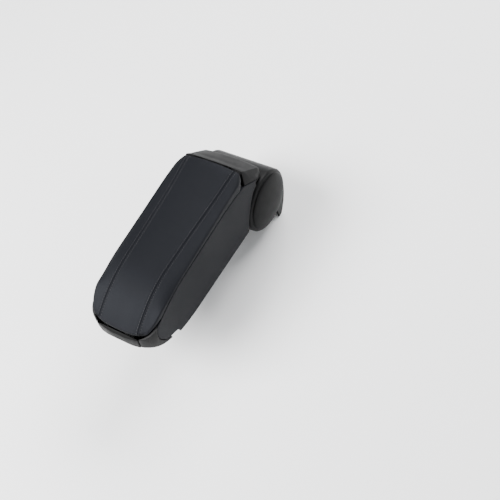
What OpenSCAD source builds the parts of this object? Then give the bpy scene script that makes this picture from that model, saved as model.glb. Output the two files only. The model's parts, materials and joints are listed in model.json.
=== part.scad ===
// Folding centre armrest of a car: a padded lid over a storage tub, swung on a barrel hinge.
// Origin: centre of the underside of the foot plate. +X right, front towards -Y, +Z up.

/* [Arm] */
// Width of the arm over its side panels
arm_w = 104; // [98:1:110]
// Distance from the pivot axis forward to the nose of the arm
nose_reach = 294; // [292:1:296]
// Forward distance at which the nose starts to round off in plan
nose_start = 255; // [250:1:258]
// Height of the arm's underside at its rear end
belly_z = 64; // [62:1:66]
// Rise of the underside for each millimetre forward
belly_slope = 0.078; // [0.06:0.002:0.09]
// Forward distance at which the chin starts to curve up
chin_start = 185; // [175:1:195]
// Extra rise of the underside at the nose
chin_rise = 38.5; // [36:0.5:41]
// Radius of the lower outside edges
belly_r = 5; // [3:0.5:6]
// Height of the parting line between lid and tub
rim_z = 158; // [156:1:160]
// Drop of the parting line at the nose
rim_drop = 22; // [18:1:24]
// Gap between the lid and the rim at the parting line
rim_gap = 1.4; // [1:0.1:2]

/* [Storage tub] */
// Wall of the tub
tub_wall = 3; // [2.4:0.1:3.4]
// Height of the tub floor above the underside
floor_h = 11; // [10.5:0.5:12]
// Thickness of the tub floor
floor_t = 5; // [4.5:0.5:6]
// Forward distance of the inside of the rear wall at the floor
store_rear = 62; // [60:1:66]
// Forward distance of the inside of the front wall
store_front = 262; // [256:1:262]
// Thickness of the tub's bottom skin in the front well
skin_t = 4; // [3.5:0.1:5]
// Forward distance of the step down to the front well
well_rear = 158; // [156:1:170]
// Thickness of the mat on the raised floor
mat_t = 2; // [1:0.5:3]
// Radius of the upright corners inside the tub
store_r = 9; // [5:1:12]

/* [Side panels and covers] */
// Thickness of a side panel
panel_t = 3.5; // [3:0.1:4]
// Gap between a side panel and the tub behind it
panel_seat = 0.3; // [0.2:0.05:0.4]
// Open joint between neighbouring trim pieces
trim_gap = 0.6; // [0.4:0.1:1]
// Radius of the rounded front end of a side panel
panel_end_r = 32; // [30:1:34]
// Thickness of the nose trim
bezel_t = 3.2; // [2.8:0.1:3.6]
// Forward distance of the rear edge of the belly plate
plate_rear = 87; // [80:1:95]
// Forward distance of the front edge of the belly plate
plate_front = 196; // [190:1:205]
// Thickness of the belly plate
plate_t = 3; // [2.5:0.1:3.4]
// Depth by which the belly plate stands proud of the underside
plate_proud = 1; // [0.6:0.1:1.6]

/* [Lid] */
// Distance from the pivot axis forward to the front of the pad
pad_reach = 290; // [289:0.5:291]
// Height of the top of the pad
pad_z = 170; // [168:1:172]
// Drop of the pad towards the nose
pad_drop = 30; // [26:1:31]
// Distance of each seam from the middle
seam_x = 33; // [28:1:36]
// Thickness of the lid frame
frame_t = 3; // [2.5:0.1:3.4]
// Distance of the frame's edge inside the pad's edge
frame_inset = 3; // [2.6:0.1:4]
// Height of the lid hinge axis
lid_z = 157; // [156:0.5:158]
// Forward distance of the lid hinge axis
lid_fwd = 31; // [30:0.5:32]
// Radius of the round nose of the rear cover
nose_r = 7.6; // [7:0.1:8.2]
// Gap between the pad and the round nose
nose_gap = 2.6; // [2.4:0.1:3]
// Diameter of the lid hinge pin
lid_pin_d = 4; // [3:0.5:5]
// Inner end of a lid knuckle, from the middle
knuckle_x0 = 18; // [14:1:22]
// Outer end of a lid knuckle, from the middle
knuckle_x1 = 30; // [27:1:34]
// Side gap between knuckles
knuckle_gap = 0.4; // [0.3:0.05:0.6]

/* [Barrel hinge] */
// Height of the pivot axis above the foot
pivot_z = 65; // [64:1:66]
// Outer radius of the barrel
barrel_r = 48.5; // [47:0.5:49]
// Wall of the barrel
barrel_wall = 3; // [2.5:0.1:3.5]
// Radius of the barrel's rim edge
barrel_edge = 5; // [2:0.5:5.5]
// Radius of the tail's curve
tail_r = 93; // [92:0.5:95]
// Width of the barrel's rim round an end cap
cap_rim = 4.5; // [3.5:0.5:6.5]
// Height by which an end cap is domed
cap_dome = 5; // [3:0.5:7]
// Half width of the slot for the tongue
slot_half = 17.5; // [17:0.5:20]
// Diameter of the pivot axle
axle_d = 10; // [8:0.5:12]
// Radial running clearance of the hinge pins
run_fit = 0.05; // [0.02:0.01:0.08]
// Half width of the tongue and its hub
tongue_half = 14; // [13:0.5:14.5]
// Radius of the tongue's hub
hub_r = 15; // [14:0.5:17]
// Thickness of the tongue
tongue_t = 7; // [6:0.5:8]
// Forward distance of the tongue's tip
tongue_reach = 150; // [140:1:158]
// Thickness of a friction washer
washer_t = 1.8; // [1.4:0.1:2]
// Thickness of a bracket ear
ear_t = 4; // [3:0.5:5]
// Side play on each face of a friction washer
washer_play = 0.1; // [0.05:0.05:0.15]

/* [Foot] */
// Width of the foot plate
foot_w = 64; // [60:1:66]
// Depth of the foot plate
foot_d = 32; // [30:1:34]
// Thickness of the foot plate
foot_t = 4; // [3:0.5:5]
// Spacing of the foot holes across
hole_x = 51; // [48:1:52]
// Spacing of the foot holes front to rear
hole_y = 18; // [16:1:19]
// Diameter of the foot holes
hole_d = 6.6; // [5.5:0.1:7]

/* [Latch] */
// Width of the pull lever
lever_w = 63; // [56:1:66]
// Height of the pull lever's face
lever_h = 15.5; // [14:0.5:16]
// Thickness of the pull lever
lever_t = 5; // [4.5:0.1:5.5]
// Gap at each end of the pull lever
lever_gap = 1.5; // [1:0.1:2]
// Forward distance of the lever's pin
latch_fwd = 285; // [284.5:0.5:285.5]
// Height of the lever's pin
latch_z = 131.5; // [131:0.5:132]
// Radius of the lugs and ears round the lever's pin
lug_r = 3.2; // [2.8:0.1:3.4]
// Diameter of the lever's pin
latch_pin_d = 3; // [2.5:0.5:4]
// Diameter of the striker bar
striker_d = 3; // [2.5:0.1:3.5]
// Gap between the hook and the striker bar
hook_gap = 0.4; // [0.3:0.1:0.6]

/* [Fasteners] */
// Diameter of the tongue and shroud screws
screw_d = 6; // [5:0.5:6]
// Diameter of the small trim screws
trim_screw_d = 3; // [2.5:0.5:3.5]
// Radial gap round a screw in its hole
screw_gap = 0.1; // [0.05:0.05:0.2]

/* [Hidden] */
$fn = 48;
half_w = arm_w / 2;
floor_tilt = atan(belly_slope);
slab_x = half_w - panel_t;
tub_half = slab_x - panel_seat;
store_half = tub_half - tub_wall - 0.7;
store_front_y = -store_front;
box_front = -store_front - tub_wall;
cap_r = barrel_r - cap_rim;
shroud_seat = barrel_r - 14.5;
cover_screw_x = half_w - 16;
cover_screw_z = lid_z - 14;
cover_rear = 9;
cover_front = -9;
cover_shoulder = 8;
ear_in = tongue_half + washer_t + 2 * washer_play;
ear_out = ear_in + ear_t;
frame_under = rim_gap / 2 + 0.5;
panel_end_y = -239.5;
panel_end_z = 125;
arc_z = 33;
arc_r = 120;
arc_y = arc_r - barrel_r - 12.5;
plate_half = half_w - 1;
plate_screw_x = plate_half - 11;
striker_y = box_front - 8;
striker_z = 124;
tab_x = half_w - 12;
lever_bow = 165;
big = 400;

// Outline of the arm, by forward position y (negative towards the nose)
function nose_share(y, reach) = min(1, max(0, (-y - nose_start) / (reach - nose_start)));
function plan_half(y, reach) = half_w * pow(1 - pow(nose_share(y, reach), 3), 0.36);
function belly(y) = belly_z + belly_slope * (-55 - y)
    + chin_rise * pow(max(0, (-y - chin_start) / (nose_reach - chin_start)), 3);
function rim(y) = y > -39
    ? rim_z - 6 - (y + 39) * 0.714
    : rim_z - 6 * pow(max(0, (y + 110) / 71), 2)
        - rim_drop * pow(max(0, (-200 - y) / 84), 1.8);
function pad_top(y) = pad_z - pow(max(0, (y + 44) / 12), 2)
    - pad_drop * pow(max(0, (-195 - y) / 92), 2.3);
function pad_half(y) = plan_half(y, pad_reach) - 7 * pow(max(0, (y + 48) / 16), 2.2);

// Stations along the arm, closer together towards the nose
ARM_STATIONS = [6, -10, -39, -60, -85, -110, -150, -190, -215, -235, -250,
    -258, -265, -271, -276, -280.5, -284.5, -288, -291, -292.6, -293.4];
PAD_STATIONS = [-32, -33.5, -36, -39, -43, -49, -60, -80, -110, -150, -195, -215, -232, -246,
    -256, -263, -269, -274, -278.5, -282, -285, -287.4, -288.7, -289.3];

// Joins closed rings of points, one ring per station, into a solid
module loft(rings) {
    n = len(rings[0]);
    last = (len(rings) - 1) * n;
    polyhedron(
        points = [for (ring = rings) for (p = ring) p],
        faces = concat(
            [[for (i = [n - 1:-1:0]) i]],
            [for (j = [0:len(rings) - 2], i = [0:n - 1])
                [j * n + i, j * n + (i + 1) % n, (j + 1) * n + i]],
            [for (j = [0:len(rings) - 2], i = [0:n - 1])
                [(j + 1) * n + i, j * n + (i + 1) % n, (j + 1) * n + (i + 1) % n]],
            [[for (i = [0:n - 1]) last + i]]));
}

// Ring of the arm's body at y: full size, or smaller by inset on every side
function arm_ring(y, inset, r) =
    let (w = plan_half(y, nose_reach) - inset, low = belly(y) + inset, top = rim(y) - rim_gap / 2)
    concat(
        [[w, y, top]],
        [for (a = [0:22.5:90]) [w - r + r * cos(a), y, low + r - r * sin(a)]],
        [for (a = [90:22.5:180]) [-w + r + r * cos(a), y, low + r - r * sin(a)]],
        [[-w, y, top]]);

module arm_body(inset, r) {
    loft([for (y = ARM_STATIONS) arm_ring(y, inset, r)]);
}

// Ring of the tub: straight sides behind the panels
function tub_ring(y, half, low) =
    [[half, y, rim(y) - rim_gap / 2], [half, y, low + 2], [half - 2, y, low],
        [-half + 2, y, low], [-half, y, low + 2], [-half, y, rim(y) - rim_gap / 2]];

// Ring of the pad: rolled lower edge, sloping shoulder, seam, crowned top
function pad_ring(y) =
    let (w = pad_half(y), s = w / half_w, low = rim(y) + rim_gap / 2, top = pad_top(y),
        seam_z = max(low + 3.4, top - 1.6),
        edge_z = min(seam_z - 0.4, max(low + 4.4, rim_z + 5.1 + 3.1 * min(1, (y + 150) / 75))),
        side = [[w - 1.2, low], [w, low + 1.4], [w - 0.8, edge_z],
            [(w + seam_x * s) / 2 + 1.5, (edge_z + seam_z) / 2 + 1.2],
            [seam_x * s, seam_z], [seam_x * s * 0.75, top - 0.5], [seam_x * s * 0.35, top]])
    concat([for (i = [len(side) - 1:-1:0]) [side[i][0], y, side[i][1]]],
        [for (p = side) [-p[0], y, p[1]]]);

// Ring of the flat stack under the pad, between two heights above the rim
function frame_ring(y, inset, low, high) =
    let (w = pad_half(y) - inset)
    [[w, y, rim(y) + high], [w, y, rim(y) + low], [-w, y, rim(y) + low], [-w, y, rim(y) + high]];

// Frame of the straight underside: origin at its rear end, tilted with it
module on_belly() {
    translate([0, -55, belly_z]) rotate([-floor_tilt, 0, 0]) children();
}

// Box given by its ranges
module span(x0, x1, y0, y1, z0, z1) {
    translate([x0, y0, z0]) cube([x1 - x0, y1 - y0, z1 - z0]);
}

// Side profile in the y-z plane, drawn across x0 to x1
module across(x0, x1) {
    translate([x0, 0, 0]) rotate([90, 0, 90]) linear_extrude(height = x1 - x0) children();
}

// Round bar along X
module bar_x(x0, x1, y, z, r) {
    translate([x0, y, z]) rotate([0, 90, 0]) cylinder(h = x1 - x0, r = r, $fn = r > 20 ? 180 : 48);
}

// Screw along +Z with its head at the bottom: round head, shank
module screw(d, length, head_d, head_h) {
    cylinder(h = head_h, d = head_d);
    cylinder(h = head_h + length, d = d);
}

// Foot and barrel hinge
module foot_bracket() {
    color("dimgray") difference() {
        union() {
            span(-foot_w / 2, foot_w / 2, -foot_d / 2, foot_d / 2, 0, foot_t);
            span(-foot_w / 2, foot_w / 2, foot_d / 2 - foot_t, foot_d / 2, 0, 30);
            for (s = [-1, 1]) {
                mid = s * (ear_in + ear_out) / 2;
                span(mid - ear_t / 2, mid + ear_t / 2, -foot_d / 2 + 2, foot_d / 2 - 2, 1, pivot_z);
                bar_x(mid - ear_t / 2, mid + ear_t / 2, 0, pivot_z, foot_d / 2 - 2);
            }
        }
        bar_x(-ear_out - 1, ear_out + 1, 0, pivot_z, axle_d / 2 + run_fit);
        for (x = [-hole_x / 2, hole_x / 2], y = [-hole_y / 2, hole_y / 2])
            translate([x, y, -1]) cylinder(h = foot_t + 2, d = hole_d);
        for (s = [-1, 1])
            translate([s * 26, foot_d / 2 - foot_t - 1, 22]) rotate([-90, 0, 0])
                cylinder(h = foot_t + 2, d = 4 + 2 * screw_gap);
    }
}

// Round outline of the tail, smaller by inset
module tail_outline(inset) {
    intersection() {
        translate([barrel_r - 2.5 - tail_r, 60]) circle(r = tail_r - inset, $fn = 180);
        translate([0, inset > 0 ? -1 : 0]) square([60, 62]);
    }
}

module hinge_shroud() {
    color([0.13, 0.13, 0.14]) difference() {
        union() {
            // Barrel with rounded rims
            translate([-half_w, 0, pivot_z]) rotate([0, 90, 0]) rotate_extrude($fn = 180) union() {
                translate([0, barrel_edge]) square([barrel_r, arm_w - 2 * barrel_edge]);
                square([barrel_r - barrel_edge, arm_w]);
                for (h = [barrel_edge, arm_w - barrel_edge])
                    translate([barrel_r - barrel_edge, h]) circle(r = barrel_edge);
            }
            // Tail that curves down behind the foot
            across(-half_w + 1, half_w - 1) intersection() {
                tail_outline(0);
                translate([foot_d / 2 + 0.5, 0]) square([60, 70]);
            }
        }
        // Hollow of the barrel, open at both ends for the caps
        bar_x(-half_w + barrel_wall, half_w - barrel_wall, 0, pivot_z, barrel_r - barrel_wall);
        bar_x(-half_w - 1, half_w + 1, 0, pivot_z, cap_r - 1);
        // Hollow of the tail
        across(-half_w + barrel_wall, half_w - barrel_wall) difference() {
            intersection() {
                tail_outline(barrel_wall);
                translate([foot_d / 2 - 1, -1]) square([60, 60]);
            }
            translate([0, pivot_z]) circle(r = barrel_r - barrel_wall - 1, $fn = 180);
        }
        // Way in for the foot bracket
        span(-foot_w / 2 - 0.5, foot_w / 2 + 0.5, -foot_d / 2 - 0.5, foot_d / 2 + 0.5, -1, 40);
        // Slot for the tongue, from straight ahead to past upright
        intersection() {
            bar_x(-slot_half, slot_half, 0, pivot_z, barrel_r + 4);
            union() {
                span(-slot_half, slot_half, -60, 0, pivot_z - 2, pivot_z + 60);
                span(-slot_half, slot_half, -1, 13, pivot_z, pivot_z + 60);
            }
        }
        // Holes for the shroud screws
        for (s = [-1, 1]) translate([s * 26, 0, 22]) rotate([-90, 0, 0]) {
            cylinder(h = 60, d = 4 + 2 * screw_gap);
            translate([0, 0, shroud_seat]) cylinder(h = 20, d = 9);
        }
    }
    // Bosses between the tail and the upstand of the foot
    color([0.13, 0.13, 0.14]) for (s = [-1, 1]) difference() {
        translate([s * 26, foot_d / 2 + 0.1, 22]) rotate([-90, 0, 0])
            cylinder(h = shroud_seat + 4 - foot_d / 2, d = 11);
        translate([s * 26, 0, 22]) rotate([-90, 0, 0]) cylinder(h = 60, d = 4 + 2 * screw_gap);
        translate([s * 26, shroud_seat, 22]) rotate([-90, 0, 0]) cylinder(h = 20, d = 9);
    }
}

// Domed cap with a spigot that sits in the barrel's end
module end_cap() {
    difference() {
        union() {
            translate([half_w + 0.3, 0, pivot_z]) rotate([0, 90, 0]) rotate_extrude($fn = 96)
                polygon(concat([[0, 0]], [for (a = [0:10:90])
                    [cap_r * cos(a), 0.6 + cap_dome * pow(sin(a), 1.4)]]));
            bar_x(half_w - 7, half_w + 0.4, 0, pivot_z, cap_r - 1.2);
        }
        bar_x(half_w - 8, half_w - 1.4, 0, pivot_z, cap_r - 4);
    }
}

module end_cap_right() {
    color([0.15, 0.15, 0.16]) end_cap();
}

module end_cap_left() {
    color([0.15, 0.15, 0.16]) mirror([1, 0, 0]) end_cap();
}

module pivot_axle() {
    color("silver") union() {
        bar_x(-ear_out - 4.2, ear_out + 12, 0, pivot_z, axle_d / 2);
        bar_x(-ear_out - 5.2, -ear_out - 0.2, 0, pivot_z, axle_d / 2 + 3.5);
    }
}

module axle_nut() {
    color("silver") difference() {
        translate([ear_out + 0.2, 0, pivot_z]) rotate([0, 90, 0])
            cylinder(h = 8, r = axle_d / 2 + 4.8, $fn = 6);
        bar_x(ear_out - 1, ear_out + 10, 0, pivot_z, axle_d / 2 + run_fit);
    }
}

module friction_washers() {
    color("goldenrod") for (s = [-1, 1]) {
        mid = s * (tongue_half + washer_play + washer_t / 2);
        difference() {
            bar_x(mid - washer_t / 2, mid + washer_t / 2, 0, pivot_z, hub_r - 1.5);
            bar_x(mid - washer_t, mid + washer_t, 0, pivot_z, axle_d / 2 + run_fit);
        }
    }
}

module shroud_screws() {
    color("dimgray") for (s = [-1, 1])
        translate([s * 26, shroud_seat + 2.8, 22]) rotate([90, 0, 0]) screw(4, 22, 8, 2.6);
}

// Arm
module arm_tongue() {
    color("gray") difference() {
        union() {
            bar_x(-tongue_half, tongue_half, 0, pivot_z, hub_r);
            across(-tongue_half, tongue_half) polygon([[-4, pivot_z - 9], [-52, belly(-52) + 3.6],
                [-70, belly(-70) + 3.6], [-70, belly(-70) + 10.2], [-52, belly(-52) + 10.2],
                [-4, pivot_z + 9]]);
            on_belly() span(-tongue_half, tongue_half, 55 - tongue_reach, -8, 3.4, 3.4 + tongue_t);
        }
        bar_x(-big, big, 0, pivot_z, axle_d / 2 + run_fit);
        on_belly() for (x = [-8, 8], y = [-26, -82])
            translate([x, y, -10]) cylinder(h = 40, d = screw_d + 2 * screw_gap);
    }
}

// Inside of the tub in side view: raised floor over the tongue, deeper well in front of it
module store_profile() {
    raised = floor_h + floor_t;
    polygon(concat(
        [[-47, 190], [-47, 146], [3 - store_rear, belly(-store_rear) + raised + 22],
            [-store_rear, belly(-store_rear) + raised], [-well_rear, belly(-well_rear) + raised]],
        [for (y = [-well_rear - 4, -185, -205, -222, -236, -247, store_front_y + 6])
            [y, belly(y) + skin_t]],
        [[store_front_y, belly(store_front_y) + skin_t + 9], [store_front_y, 190]]));
}

module storage_tub() {
    color([0.12, 0.12, 0.13]) difference() {
        intersection() {
            loft([for (y = ARM_STATIONS) tub_ring(y, tub_half, belly(y) + 0.3)]);
            union() {
                difference() {
                    span(-tub_half, tub_half, box_front, -10.5, 0, 200);
                    bar_x(-big, big, 0, pivot_z, barrel_r + 2);
                }
            }
        }
        // Storage space
        intersection() {
            across(-store_half, store_half) store_profile();
            translate([0, 0, 50]) linear_extrude(height = 150) hull()
                for (x = [-store_half + store_r, store_half - store_r],
                    y = [store_front_y + store_r, -47 - store_r])
                    translate([x, y]) circle(r = store_r);
        }
        // Rear pocket under the cover
        difference() {
            across(-store_half, store_half) polygon([[-43, 200], [-43, 146], [-56, 106],
                [-53, 95], [-20, 95], [-4, 115], [20, 115], [20, 200]]);
            bar_x(-big, big, 0, pivot_z, barrel_r + 4.6);
        }
        // Channel for the tongue and hollow above the belly plate
        span(-tongue_half - 1, tongue_half + 1, -49.5, 0, pivot_z, pivot_z + 9.4);
        on_belly() {
            span(-tongue_half - 1, tongue_half + 1, 55 - tongue_reach - 2, 30, -12,
                3.6 + tongue_t);
            span(-tub_half - 1, tub_half + 1, 55 - plate_front - trim_gap,
                55 - plate_rear + trim_gap, -20, plate_t - plate_proud + 0.2);
            for (s = [-1, 1])
                span(s * 31 - 13, s * 31 + 13, 61 - well_rear, 55 - plate_rear - 14, -5, floor_h + 1.5);
            for (x = [-8, 8], y = [-26, -82]) translate([x, y, 0]) {
                cylinder(h = 30, d = screw_d + 0.4);
                translate([0, 0, floor_h + floor_t - 3.4]) cylinder(h = 20, d = 12.5);
            }
            for (x = [-plate_screw_x, plate_screw_x], y = [-38.5, -135])
                translate([x, y, 0]) cylinder(h = 8, d = trim_screw_d + 2 * screw_gap);
        }
        // Screw holes to the rear cover
        for (s = [-1, 1]) translate([s * cover_screw_x, -60, cover_screw_z]) rotate([-90, 0, 0]) {
            cylinder(h = 24, d = 4.4);
            cylinder(h = 12.5, d = 9);
        }
        // Slots for the nose trim's tabs
        for (s = [-1, 1])
            span(s * tab_x - 4.2, s * tab_x + 4.2, box_front - 1, store_front_y + 1, 126.8, 130.2);
        // Screw holes of the striker
        for (s = [-1, 1]) translate([s * 10, box_front - 1, 118]) rotate([-90, 0, 0])
            cylinder(h = 8, d = trim_screw_d + 2 * screw_gap);
    }
}

module tub_liner() {
    color([0.1, 0.1, 0.1]) on_belly()
        translate([0, 0, floor_h + floor_t + 0.25]) linear_extrude(height = mat_t) hull()
            for (x = [-store_half + store_r + 1, store_half - store_r - 1],
                y = [55 - well_rear + store_r + 2, 55 - store_rear - store_r - 3.5])
                translate([x, y]) circle(r = store_r);
}

// Side panel on the +X side
module side_panel() {
    difference() {
        intersection() {
            arm_body(0, belly_r);
            span(slab_x, big, -big, big, 0, 300);
            union() {
                span(slab_x - 1, big, -256, big, 0, 300);
                bar_x(slab_x - 1, big, panel_end_y, panel_end_z, panel_end_r);
            }
        }
        bar_x(0, big, arc_y, arc_z, arc_r);
        span(0, big, cover_front - trim_gap, big, 0, 300);
        on_belly() span(0, plate_half + 0.3, 55 - plate_front - trim_gap,
            55 - plate_rear + trim_gap, -20, plate_t - plate_proud + 0.3);
    }
}

module side_panel_right() {
    color([0.17, 0.17, 0.18]) side_panel();
}

module side_panel_left() {
    color([0.17, 0.17, 0.18]) mirror([1, 0, 0]) side_panel();
}

module front_bezel() {
    open_half = lever_w / 2 + lever_gap;
    color([0.14, 0.14, 0.15]) union() {
        difference() {
            intersection() {
                arm_body(0, belly_r);
                span(-big, big, -big, -256 - trim_gap, 0, 300);
            }
            for (s = [-1, 1])
                bar_x(s > 0 ? tub_half + 0.1 : -big, s > 0 ? big : -tub_half - 0.1,
                    panel_end_y, panel_end_z, panel_end_r + trim_gap);
            span(-tub_half - 0.1, tub_half + 0.1, box_front - 0.3, 0, 0, 300);
            intersection() {
                loft([for (y = [-250, -258, -265, -271, -276, -280.5, -284.5, -288, -290])
                    [for (p = arm_ring(y, bezel_t, belly_r - 2)) [p[0], p[1], p[2] + 2]]]);
                span(-big, big, -big, big, 0, 300);
            }
            span(-open_half, open_half, -big, box_front - 2, latch_z - lever_h - 0.2, 300);
        }
        for (s = [-1, 1]) {
            span(s * tab_x - 4, s * tab_x + 4, -283, store_front_y + 0.4, 127, 130);
            span(s * tab_x - 4, s * tab_x + 4, -283, box_front - 0.3, 121, 130);
        }
    }
}

module lid_knuckles_clear(r) {
    for (s = [-1, 1]) {
        x0 = s > 0 ? knuckle_x0 - knuckle_gap : -knuckle_x1 - knuckle_gap;
        x1 = s > 0 ? knuckle_x1 + knuckle_gap : -knuckle_x0 + knuckle_gap;
        bar_x(x0, x1, -lid_fwd, lid_z, r);
        span(x0, x1, -lid_fwd - 20, -lid_fwd, 146, 180);
    }
}

module rear_cover() {
    color([0.2, 0.2, 0.21]) difference() {
        union() {
            bar_x(-half_w + cover_shoulder, half_w - cover_shoulder, -lid_fwd, lid_z, nose_r);
            intersection() {
                hull() {
                    across(-half_w + cover_shoulder, half_w - cover_shoulder)
                        polygon([[-lid_fwd + 2.8, lid_z + 8.9],
                            [cover_rear, 129], [cover_rear, 112], [-38, 112], [-38, 152]]);
                    across(-half_w, half_w) polygon([[-37, 153.5], [-10, 134], [-10, 131.5],
                        [-38, 151.5]]);
                }
                across(-half_w - 1, half_w + 1) polygon([[-lid_fwd - 7, 200], [20, 200],
                    [20, 112], [cover_front, 112], [cover_front, rim(cover_front) + 0.5],
                    [-lid_fwd - 7, rim(-39) + 0.5]]);
            }
            // Screw bosses behind the tub's rear wall
            for (s = [-1, 1])
                span(s * cover_screw_x - 6, s * cover_screw_x + 6, -39.5, -25,
                    cover_screw_z - 6, cover_screw_z + 10);
        }
        // Hollow underside
        across(-store_half, store_half) polygon([[-21, 155.5], [cover_rear - 2.6, 128],
            [cover_rear - 2.6, 100], [-21, 100]]);
        span(-knuckle_x1 - 2, knuckle_x1 + 2, -34, -20, 100, 147);
        bar_x(-big, big, 0, pivot_z, barrel_r + 1.8);
        lid_knuckles_clear(nose_r + 0.35);
        bar_x(-half_w + 10, half_w - 10, -lid_fwd, lid_z, lid_pin_d / 2 + run_fit);
        for (s = [-1, 1]) translate([s * cover_screw_x, -60, cover_screw_z]) rotate([-90, 0, 0])
            cylinder(h = 33, d = 4 + 2 * screw_gap);
    }
}

module cover_screws() {
    color("dimgray") for (s = [-1, 1])
        translate([s * cover_screw_x, -50.1, cover_screw_z]) rotate([-90, 0, 0]) screw(4, 18, 8, 2.6);
}

module bottom_cover() {
    long = plate_front - plate_rear;
    color([0.13, 0.13, 0.14]) on_belly() difference() {
        translate([0, 55 - plate_rear - long, -plate_proud]) linear_extrude(height = plate_t) hull()
            for (x = [-plate_half + 6, plate_half - 6], y = [6, long - 6])
                translate([x, y]) circle(r = 6);
        for (x = [-plate_screw_x, plate_screw_x], y = [-38.5, -135]) translate([x, y, -3]) {
            cylinder(h = 10, d = trim_screw_d + 2 * screw_gap);
            cylinder(h = 3, d = 6.4);
        }
    }
}

module bottom_screws() {
    color("dimgray") on_belly() for (x = [-plate_screw_x, plate_screw_x], y = [-38.5, -135])
        translate([x, y, -1.4]) screw(trim_screw_d, 7, 6, 1.3);
}

module tongue_screws() {
    color("dimgray") on_belly() for (x = [-8, 8], y = [-26, -82])
        translate([x, y, floor_h + floor_t - 0.5]) rotate([180, 0, 0]) screw(screw_d, 8.5, 11, 2.7);
}

module lid_hinge_pin() {
    color("silver") bar_x(-half_w + 10.5, half_w - 10.5, -lid_fwd, lid_z, lid_pin_d / 2);
}

// Striker: plate on the tub's front wall, two arms and a round bar
module latch_striker() {
    color("silver") difference() {
        union() {
            span(-14, 14, box_front - 1.7, box_front - 0.2, 113, 129);
            for (s = [-1, 1])
                span(s * 7.5 - 1.2, s * 7.5 + 1.2, striker_y - 1, box_front - 1, striker_z - 1.3,
                    striker_z + 1.3);
            bar_x(-8.7, 8.7, striker_y, striker_z, striker_d / 2);
        }
        for (s = [-1, 1]) translate([s * 10, box_front - 3, 118]) rotate([-90, 0, 0])
            cylinder(h = 8, d = trim_screw_d + 2 * screw_gap);
    }
}

module striker_screws() {
    color("dimgray") for (s = [-1, 1])
        translate([s * 10, box_front - 3.4, 118]) rotate([-90, 0, 0]) screw(trim_screw_d, 4, 5.5, 1.5);
}

// Lid
module lid_frame() {
    color([0.12, 0.12, 0.13]) difference() {
        union() {
            difference() {
                loft([for (y = PAD_STATIONS)
                    if (y < -40 && y > -286)
                        frame_ring(y, frame_inset, frame_under, frame_under + frame_t)]);
                bar_x(-big, big, -lid_fwd, lid_z, nose_r + nose_gap);
            }
            for (s = [-1, 1]) {
                x0 = s > 0 ? knuckle_x0 : -knuckle_x1;
                x1 = s > 0 ? knuckle_x1 : -knuckle_x0;
                bar_x(x0, x1, -lid_fwd, lid_z, nose_r);
                span(x0, x1, -50, -lid_fwd - 3, rim(-45) + frame_under, 157.5);
                // Lugs for the latch pin
                lug0 = s > 0 ? 20 : -24;
                span(lug0, lug0 + 4, -latch_fwd - 1.7, -latch_fwd + lug_r, latch_z,
                    rim(-latch_fwd) + 3);
                bar_x(lug0, lug0 + 4, -latch_fwd, latch_z, lug_r);
            }
        }
        bar_x(-big, big, -lid_fwd, lid_z, lid_pin_d / 2 + run_fit);
        bar_x(-30, 30, -latch_fwd, latch_z, latch_pin_d / 2 + run_fit);
    }
}

module lid_pad() {
    color([0.19, 0.19, 0.2]) difference() {
        loft([for (y = PAD_STATIONS) pad_ring(y)]);
        loft([for (y = PAD_STATIONS)
            if (y < -40 && y > -288)
                frame_ring(y, frame_inset - 0.3, -6, frame_under + frame_t + 0.2)]);
        // Room for the round nose, and for the flanks of the rear cover beside it
        bar_x(-half_w + 5.6, half_w - 5.6, -lid_fwd, lid_z, nose_r + nose_gap);
        bar_x(-big, big, -lid_fwd, lid_z, 6.2);
        across(-big, big) polygon([[-31.2, 165], [-39.4, 152], [-39.4, 140], [0, 140], [0, 165]]);
        for (s = [-1, 1])
            span(s > 0 ? knuckle_x0 - 0.4 : -knuckle_x1 - 0.4, s > 0 ? knuckle_x1 + 0.4 : -knuckle_x0 + 0.4,
                -51, -30, 140, 158);
    }
}

module lid_buffers() {
    color([0.08, 0.08, 0.08]) for (s = [-1, 1], y = [-110, -195])
        translate([s * (tub_half - 2.2), y, rim(y) - rim_gap / 2 + 0.15])
            cylinder(h = frame_under + rim_gap / 2 - 0.25, d = 4);
}

module latch_pin() {
    color("silver") bar_x(-24.5, 24.5, -latch_fwd, latch_z, latch_pin_d / 2);
}

// Torsion spring: close turns of square wire round the pin, with two straight legs
module latch_spring() {
    wire = 0.9;
    turns = 5;
    inside_r = latch_pin_d / 2 + 0.5;
    color("silver") union() {
        for (i = [0:turns - 1])
            translate([9 + i * (wire + 0.1), -latch_fwd, latch_z]) rotate([0, 90, 0]) difference() {
                cylinder(h = wire + 0.1, r = inside_r + wire);
                translate([0, 0, -1]) cylinder(h = wire + 2, r = inside_r);
            }
        span(9, 9 + wire, -latch_fwd + inside_r, -latch_fwd + inside_r + wire, latch_z, latch_z + 5.6);
        span(8 + turns, 8 + turns + wire, -latch_fwd - inside_r - wire, -latch_fwd - inside_r,
            latch_z - 3.4, latch_z);
    }
}

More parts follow.
